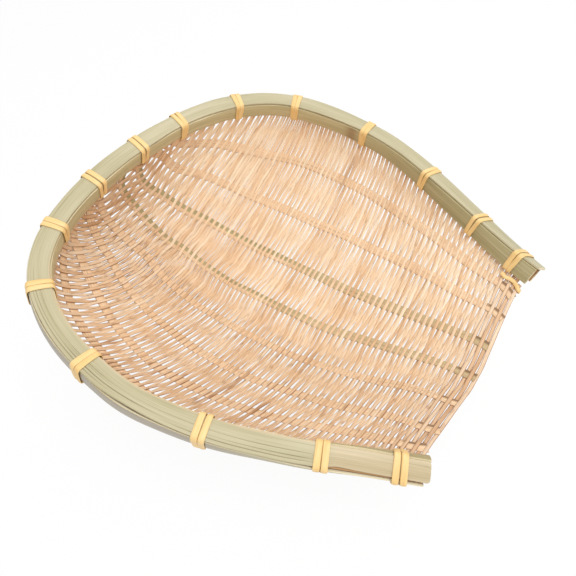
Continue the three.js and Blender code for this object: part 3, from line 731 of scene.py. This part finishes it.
class Weft:
    """One weft, from its left end to its right one: where it lies, and its lift, width and shade there. side
    is 1 over a rib and -1 under it, away runs from 0 at a rib to 1 halfway to the next, and at_rib is how wide
    its slits are. inset is how far inside the rim it is, inner falls to 0 near the mouth, and corner rises to
    1 at the back on the left."""

    def __init__(self, index, count, grid, path, gap):
        low, high = weft_ends(grid, path)
        self.reach = np.linspace(low, high, WEFT_STEPS)
        self.place, self.pitch = np.interp(self.reach, grid, path), np.interp(self.reach, grid, gap)
        self.own = waves(4, 120, 1000 + index)
        self.border = index >= count - BORDER_WEFTS
        self.inner = smooth((SPINE_LENGTH - 12 - self.place) / 20)
        self.at = np.clip((self.place + self.shift()) / SPINE_LENGTH, bowl.FIRST, 1)
        to_left, to_right, left_odd, right_odd = crossings(self.at, self.reach)
        half = np.maximum((to_left + to_right) / 2, RIB_W / 2 + 3)
        near = np.minimum(to_left, to_right)
        odd = np.where(to_left < to_right, left_odd, right_odd)
        self.side = np.where((odd + count - index) % 2 == 0, 1, -1)
        self.away = np.clip((near - RIB_W / 2 - BENT) / (half - RIB_W / 2 - BENT), 0, 1)
        self.swing = np.cos(np.pi / 2 * self.away) ** 1.5
        self.inset = np.minimum(self.reach - low, high - self.reach) - TUCK
        self.corner = smooth((240 - self.place) / 120) * smooth((-10 - self.reach) / 70)
        self.at_rib = self.swing ** 0.7 * self.opening()

    def shift(self):
        """How far it strays towards the mouth: in bunches with its neighbours, and a little by itself."""
        place, reach = self.place, self.reach
        shift = 0.5 * bunch_a(place + 0.25 * reach) + 0.35 * bunch_b(place - 0.4 * reach)
        shift = shift + 0.3 * bunch_c(place)
        return (shift * slow(reach + place) * 0.6 + self.own(reach) * 0.08) * self.inner

    def opening(self):
        """How wide the slits beside the ribs are: wider at the back on the left, and by the right arm."""
        place, reach = self.place, self.reach
        opening = 0.9 + 0.5 * open_a(place + 0.6 * reach) + 0.5 * open_b(place * 0.8 - reach)
        opening = opening + 0.15 * self.own(2 * reach) + 0.45 * self.corner
        return np.clip(opening + 0.5 * smooth(1 - self.inset / 30) * (reach > 0), 0, 2.1)

    def lift(self):
        """How far it stands off the weave's middle surface."""
        lift = self.side * WAVE * (0.7 if self.border else 1) * self.swing
        return lift * (0.4 + 0.6 * smooth(self.inset / 12)) + self.own(self.reach + 300) * 0.06

    def spacing(self, centre):
        """How far apart the wefts are, square to this one, on the surface itself."""
        ahead, span = bowl.ahead(self.at, self.reach)
        level = unit(np.gradient(centre, axis=0))
        ahead = ahead - level * (ahead * level).sum(-1, keepdims=True)
        return np.linalg.norm(ahead, axis=-1) / span / SPINE_LENGTH * self.pitch

    def fill(self):
        """The share of the spacing that it fills: less at the ribs, and in loose places between them."""
        narrower = np.where(self.side > 0, FILL - FILL_OVER, FILL - FILL_UNDER)
        fill = BORDER_FILL if self.border else FILL - self.at_rib * narrower
        loose = np.clip(open_a(1.7 * self.place - 0.5 * self.reach + 30) - 0.75, 0, 1)
        fill = fill - 0.3 * loose * self.inner
        for x, y in LOOSE_SPOTS:
            fill = fill - 0.3 * np.exp(-((self.place - x) / 7) ** 2 - ((self.reach - y) / 12) ** 2)
        return fill

    def shade(self, section):
        """How dark each point is: painted shade on its edges, beside the slits and in short dashes, and where
        stained.
        """
        x = section[None, :, 0]
        left = smooth((50 - self.reach) / 100)
        # Painted shade in the thin gaps along each weft's edges, darkest at the mouth's border and at the back
        # on the left
        edge, beside = (0.95, 0.3) if self.border else (0.35, 0.1 * self.corner[:, None])
        edge = np.maximum(edge, np.maximum(self.corner, 0.6 * left)[:, None])
        edges = np.where(np.abs(x) > 0.45, edge, beside * (np.abs(x) > 0.4))
        # Painted shadow on an under-weft's far edge beside a rib, and on its near edge where the slits open on
        # the left
        slits = np.where(self.side < 0, smooth(1 - self.away / 0.6), 0)[:, None] * (x < -0.4)
        slits = np.maximum(slits, (left * np.clip(self.at_rib - 0.4, 0, 1))[:, None] * (x > 0.41))
        # Painted shade: short dark dashes on the wefts on the left
        dashes = 0.35 * np.clip(self.own(3 * self.reach + 77) - 0.6, 0, 1) * left
        shade = np.maximum((0.4 + 0.3 * left[:, None]) * slits, edges)
        return np.clip(shade + (stains_and_shade(self.place, self.reach) + dashes)[:, None], 0, 1)


def strip_sides(centre, normal):
    """Which way is across a strip and which way is off it, where it lies along centre on the given normal."""
    along = unit(np.gradient(centre, axis=0))
    across = unit(np.cross(along, normal))
    return across, np.cross(across, along)


def weave():
    """All wefts as one mesh. Each goes over one rib and under the next, and closes up between the ribs."""
    grid, paths, gaps = weft_paths()
    strips = Strips()
    for i, (path, gap) in enumerate(zip(paths, gaps)):
        weft = Weft(i, len(paths), grid, path, gap)
        reach, own = weft.reach, weft.own
        centre, normal = bowl.point(weft.at, reach), bowl.normal(weft.at, reach)
        spacing = weft.spacing(centre)
        centre = centre + normal * weft.lift()[:, None]
        across, normal = strip_sides(centre, normal)
        section = flat_strip(1.0, WEFT_T * rng.uniform(0.9, 1.1), edge=0.08)
        width = spacing * weft.fill() * rng.uniform(0.97, 1.03) * (1 + 0.03 * own(reach + 900))
        rings = (centre[:, None] + across[:, None] * (section[None, :, :1] * width[:, None, None])
                 + normal[:, None] * section[None, :, 1:])
        tint = rng.normal(0.53, 0.2) + 0.1 * own(reach + 500) + 0.14 * smooth((reach - 30) / 70)
        strips.add(rings, reach + 37.0 * i, section[:, 0] * 3.2 + 11.0 * i, tint=np.clip(tint, 0, 1),
                   mark=weft.shade(section))
    return strips.finish("wefts", [weft_cream], "weft", ["weft_panel"], sharp=50)


def rib(index):
    """One wide rib from the back wall to just before the lip. Olive skin covers half of an olive rib's width
    at the back and nearly all of it further on."""
    samples = np.linspace(0.012, 1 - RIB_SHORT / SPINE_LENGTH, 520)
    place = samples * SPINE_LENGTH
    reach = rib_reach(index, samples)
    limit = np.where(reach < 0, bowl.limit(samples, -1), bowl.limit(samples, 1))
    keep = np.abs(reach) < limit + GRIP
    samples, place, reach = samples[keep], place[keep], reach[keep]
    centre, normal = bowl.point(samples, reach), bowl.normal(samples, reach)
    across, _ = strip_sides(centre, normal)
    width = RIB_W * (1 + 0.05 * waves(4, 200, 70 + index)(place))
    width = width * (1 - 0.22 * smooth((place - 420) / 50))
    section = flat_strip(1.0, RIB_T, crown=0.2, edge=0.06)
    # Two more points by the middle keep the edge of the olive skin narrow
    section = np.insert(section, [3, 4], [[-0.06, RIB_T * 0.6], [0.06, RIB_T * 0.6]], axis=0)
    rings = (centre[:, None] + across[:, None] * section[None, :, :1] * width[:, None, None]
             + normal[:, None] * section[None, :, 1:])
    mark = np.zeros(rings.shape[:2])
    if index in OLIVE_RIBS:
        full = smooth((place - 235) / 40)[:, None]
        pale = 1 - 0.35 * smooth((place - 220) / 120)[:, None]
        mark = np.where(section[None, :, 0] < 0.01, 1.0, 0.12 + 0.75 * full) * pale
    # Painted shade: a dark line along one edge of each rib, and by the lip, under the border wefts, a dark band
    # along its other side
    at_mouth = smooth((place - 468) / 6)[:, None]
    line = np.maximum(np.where(section[None, :, 0] > 0.45, 0.6, 0.0),
                      np.where(section[None, :, 0] < -0.2, 0.8, 0.1) * at_mouth)
    strips = Strips()
    strips.add(rings, place + 60 * index, section[:, 0] * RIB_W, mark=mark, line=line)
    name, finish = f"rib_{index + 1:02d}", "rib_olive" if index in OLIVE_RIBS else "rib"
    return strips.finish(name + "_strip", [rib_cream], finish, [name])


weave()
for index in range(len(RIB_PATHS)):
    rib(index)


def round_corners(path, times=2, share=0.22):
    """Cuts the corners of a closed path, each time a little finer."""
    for _ in range(times):
        after = np.roll(path, -1, axis=0)
        path = np.stack([path * (1 - share) + after * share, path * share + after * (1 - share)], 1)
        path = path.reshape(-1, 2)
    return path


def tie_loop(gap):
    """Closed path round the rim box, in its section, a small gap off the laths."""
    side, top = RIM_W / 2 + gap, RIM_D / 2 + gap
    shoulder = RIM_W / 2 - REVEAL
    corner = np.array([
        [-side + 0.8, -top], [-side, -top + 0.8], [-side, -2], [-side, top - CROWN - 3.2],
        [-side + 0.5, top - CROWN - 1.6], [-shoulder - 0.2, top - CROWN], [-shoulder / 2, top - CROWN / 4],
        [0, top], [shoulder / 2, top - CROWN / 4], [shoulder + 0.2, top - CROWN],
        [side - 0.5, top - CROWN - 1.6], [side, top - CROWN - 3.2], [side, -2], [side, -top + 0.8],
        [side - 0.8, -top], [0, -top - 0.6]])
    return round_corners(corner)


def tie(number, share):
    """Two strands of cane side by side round the rim, drawn together below it."""
    strips = Strips()
    source = np.random.default_rng(200 + number)
    for strand in (-1, 1):
        path = tie_loop(TIE_GAP)
        path = np.vstack([path, path[:1]])
        n = len(path)
        forward = np.roll(path[:-1], -1, axis=0) - np.roll(path[:-1], 1, axis=0)
        out = np.stack([-forward[:, 1], forward[:, 0]], -1)
        out = unit(np.vstack([out, out[:1]]))
        s = lengths(path)
        gap = 0.02 + 0.12 * source.random()
        pinch = 0.5 * source.random() + 0.5
        lower = smooth((RIM_D * 0.3 - path[:, 1]) / RIM_D)
        middle = strand * (STRAND_W / 2 + gap - pinch * lower)
        middle = middle + source.normal(0, 0.25) + 0.5 * source.normal() * path[:, 0] / RIM_W
        width = STRAND_W * source.uniform(0.92, 1.02)
        section = flat_strip(width, STRAND_T, crown=0.35, edge=0.5)
        section[:, 1] += STRAND_T / 2
        rings = []
        for k in range(n):
            along = middle[k] + section[:, 0]
            spot = path[k] + out[k] * section[:, 1:]
            rings.append(in_section(share + along / ARM, spot[:, 0], spot[:, 1]))
        rings = np.array(rings)
        # Painted shade: a brown line along each strand's edge where it meets the other strand
        strips.add(rings, s + 50 * number, section[:, 0] + 8 * strand, tint=source.uniform(0.3, 0.8),
                   line=np.where(section[:, 0] * strand < -width * 0.48, 0.8, 0.0))
    name = f"tie_{number:02d}"
    return strips.finish(name + "_cane", [cane], "cane", [name], sharp=55)


def catmull(points, per=10):
    points = np.asarray(points, float)
    padded = np.vstack([2 * points[0] - points[1], points, 2 * points[-1] - points[-2]])
    out = []
    for k in range(len(points) - 1):
        a, b, c, d = padded[k:k + 4]
        t = np.linspace(0, 1, per, endpoint=False)[:, None]
        out.append(0.5 * (2 * b + (c - a) * t + (2 * a - 5 * b + 4 * c - d) * t ** 2
                          + (3 * b - a - 3 * c + d) * t ** 3))
    return np.vstack([*out, points[-1:]])


def strap(strips, centre, normal, width, thickness, tint):
    across, normal = strip_sides(centre, normal)
    section = flat_strip(width, thickness, crown=0.35, edge=0.4)
    rings = centre[:, None] + across[:, None] * section[None, :, :1] + normal[:, None] * section[None, :, 1:]
    strips.add(rings, lengths(centre), section[:, 0], tint=tint)


def corner_lashing():
    """Cane lashed over the right-hand corner of the mouth: along the inner face, round the lip and back
    below."""
    # Steps along the spine from the lip, out from the rim's edge, and off the weave
    route = np.array([(-20.5, -7.0, 2.9), (-16, -7.5, 3.1), (-12.5, -5.2, 2.8), (-7, -1.8, 2.2),
                      (-3, -0.8, 2.0), (0.6, -0.8, 1.4), (1.6, -1.2, 0.0), (0.6, -1.8, -1.5),
                      (-4, -3.2, -2.0), (-12, -3.4, -2.1)])
    at = np.clip(1 + route[:, 0] / SPINE_LENGTH, 0, 1)
    reach = bowl.limit(at, 1) + route[:, 1]
    lip = unit(bowl.point(1.0, reach) - bowl.point(0.99, reach))
    here = bowl.point(at, reach) + lip * np.maximum(route[:, :1], 0)
    normal = bowl.normal(at, reach)
    centre = catmull(here + normal * route[:, 2:])
    turn = catmull(route[:, [0, 2]])
    over = np.clip(turn[:, 1:] / 2.0, -1, 1)
    sides = catmull(normal) * over + catmull(lip) * np.sqrt(np.maximum(1 - over ** 2, 0))
    strips = Strips()
    strap(strips, centre, unit(sides), LASHING_W, LASHING_T, tint=0.6)
    return strips.finish("corner_lashing_cane", [cane], "cane", ["corner_lashing"], sharp=55)


for number, share in enumerate([*RIGHT_TIES[::-1], 0.0, *[-s for s in LEFT_TIES]], 1):
    tie(number, share)
corner_lashing()


def floor():
    """Plain white floor. The camera and mirror rays see it nearly pure white, and it still takes a shadow."""
    material = bpy.data.materials.new("floor_white")
    material.use_nodes = True
    tree = material.node_tree
    surface = tree.nodes["Principled BSDF"]
    surface.inputs["Roughness"].default_value = 0.9
    speck = add(tree, "ShaderNodeTexNoise", {"Scale": 60.0, "Detail": 2.0}).outputs["Fac"]
    tree.links.new(ramp(tree, speck, [(0.0, "F4F4F4"), (1.0, "FAFAFA")]), surface.inputs["Base Color"])
    seen = add(tree, "ShaderNodeLightPath")
    ray = maths(tree, "MAXIMUM", seen.outputs["Is Camera Ray"],
                maths(tree, "MAXIMUM", seen.outputs["Is Glossy Ray"], seen.outputs["Is Transmission Ray"]))
    glow = add(tree, "ShaderNodeEmission", {"Color": (1, 1, 1, 1), "Strength": 1.0})
    blend = add(tree, "ShaderNodeMixShader", {"Fac": maths(tree, "MULTIPLY", ray, FLOOR_GLOW)})
    tree.links.new(surface.outputs["BSDF"], blend.inputs[1])
    tree.links.new(glow.outputs["Emission"], blend.inputs[2])
    tree.links.new(blend.outputs["Shader"], tree.nodes["Material Output"].inputs["Surface"])
    mesh = bpy.data.meshes.new("floor")
    size = 4.0
    corners = [(-size, -size, 0), (size, -size, 0), (size, size, 0), (-size, size, 0)]
    mesh.from_pydata(corners, [], [(0, 1, 2, 3)])
    mesh.materials.append(material)
    plane = bpy.data.objects.new("floor", mesh)
    bpy.context.scene.collection.objects.link(plane)
    plane.location.z = cad_box[0][2] - FLOOR_DROP / 1000


def area_light(name, place, size, power, target=(0, 0, 0.08)):
    data = bpy.data.lights.new(name, "AREA")
    data.shape, data.size, data.energy = "SQUARE", size, power
    lamp = bpy.data.objects.new(name, data)
    bpy.context.scene.collection.objects.link(lamp)
    lamp.location = place
    lamp.rotation_euler = (Vector(target) - Vector(place)).to_track_quat("-Z", "Y").to_euler()


def lights():
    world = bpy.data.worlds.new("studio")
    world.use_nodes = True
    background = world.node_tree.nodes["Background"]
    background.inputs["Color"].default_value = (1, 1, 1, 1)
    seen = add(world.node_tree, "ShaderNodeLightPath")
    strength = maths(world.node_tree, "MAXIMUM", seen.outputs["Is Camera Ray"], SKY_LIGHT)
    world.node_tree.links.new(strength, background.inputs["Strength"])
    bpy.context.scene.world = world
    area_light("key", (-0.2, -0.65, 1.6), size=1.2, power=17.0)
    area_light("fill", (0.9, 0.3, 1.3), size=1.0, power=4.5)


def camera():
    """The photograph's camera, fitted to the basket's rim and ties."""
    yaw, pitch, roll = math.radians(48.39), math.radians(48.50), math.radians(-7.06)
    forward = Vector((math.sin(yaw) * math.cos(pitch), math.cos(yaw) * math.cos(pitch), -math.sin(pitch)))
    level = Vector((math.cos(yaw), -math.sin(yaw), 0))
    raised = level.cross(forward)
    right = level * math.cos(roll) + raised * math.sin(roll)
    up = raised * math.cos(roll) - level * math.sin(roll)
    data = bpy.data.cameras.new("camera")
    data.lens, data.sensor_width, data.clip_start = 30.74, 36.0, 0.01
    view = bpy.data.objects.new("camera", data)
    bpy.context.scene.collection.objects.link(view)
    place = Vector((-253.1, -407.1, 429.7)) + Vector(ORIGIN.tolist())
    turn = Matrix((right, up, -forward)).transposed().to_4x4()
    view.matrix_world = Matrix.Translation(place / 1000) @ turn
    bpy.context.scene.camera = view


floor()
lights()
camera()
bpy.context.scene.view_settings.view_transform = "Standard"
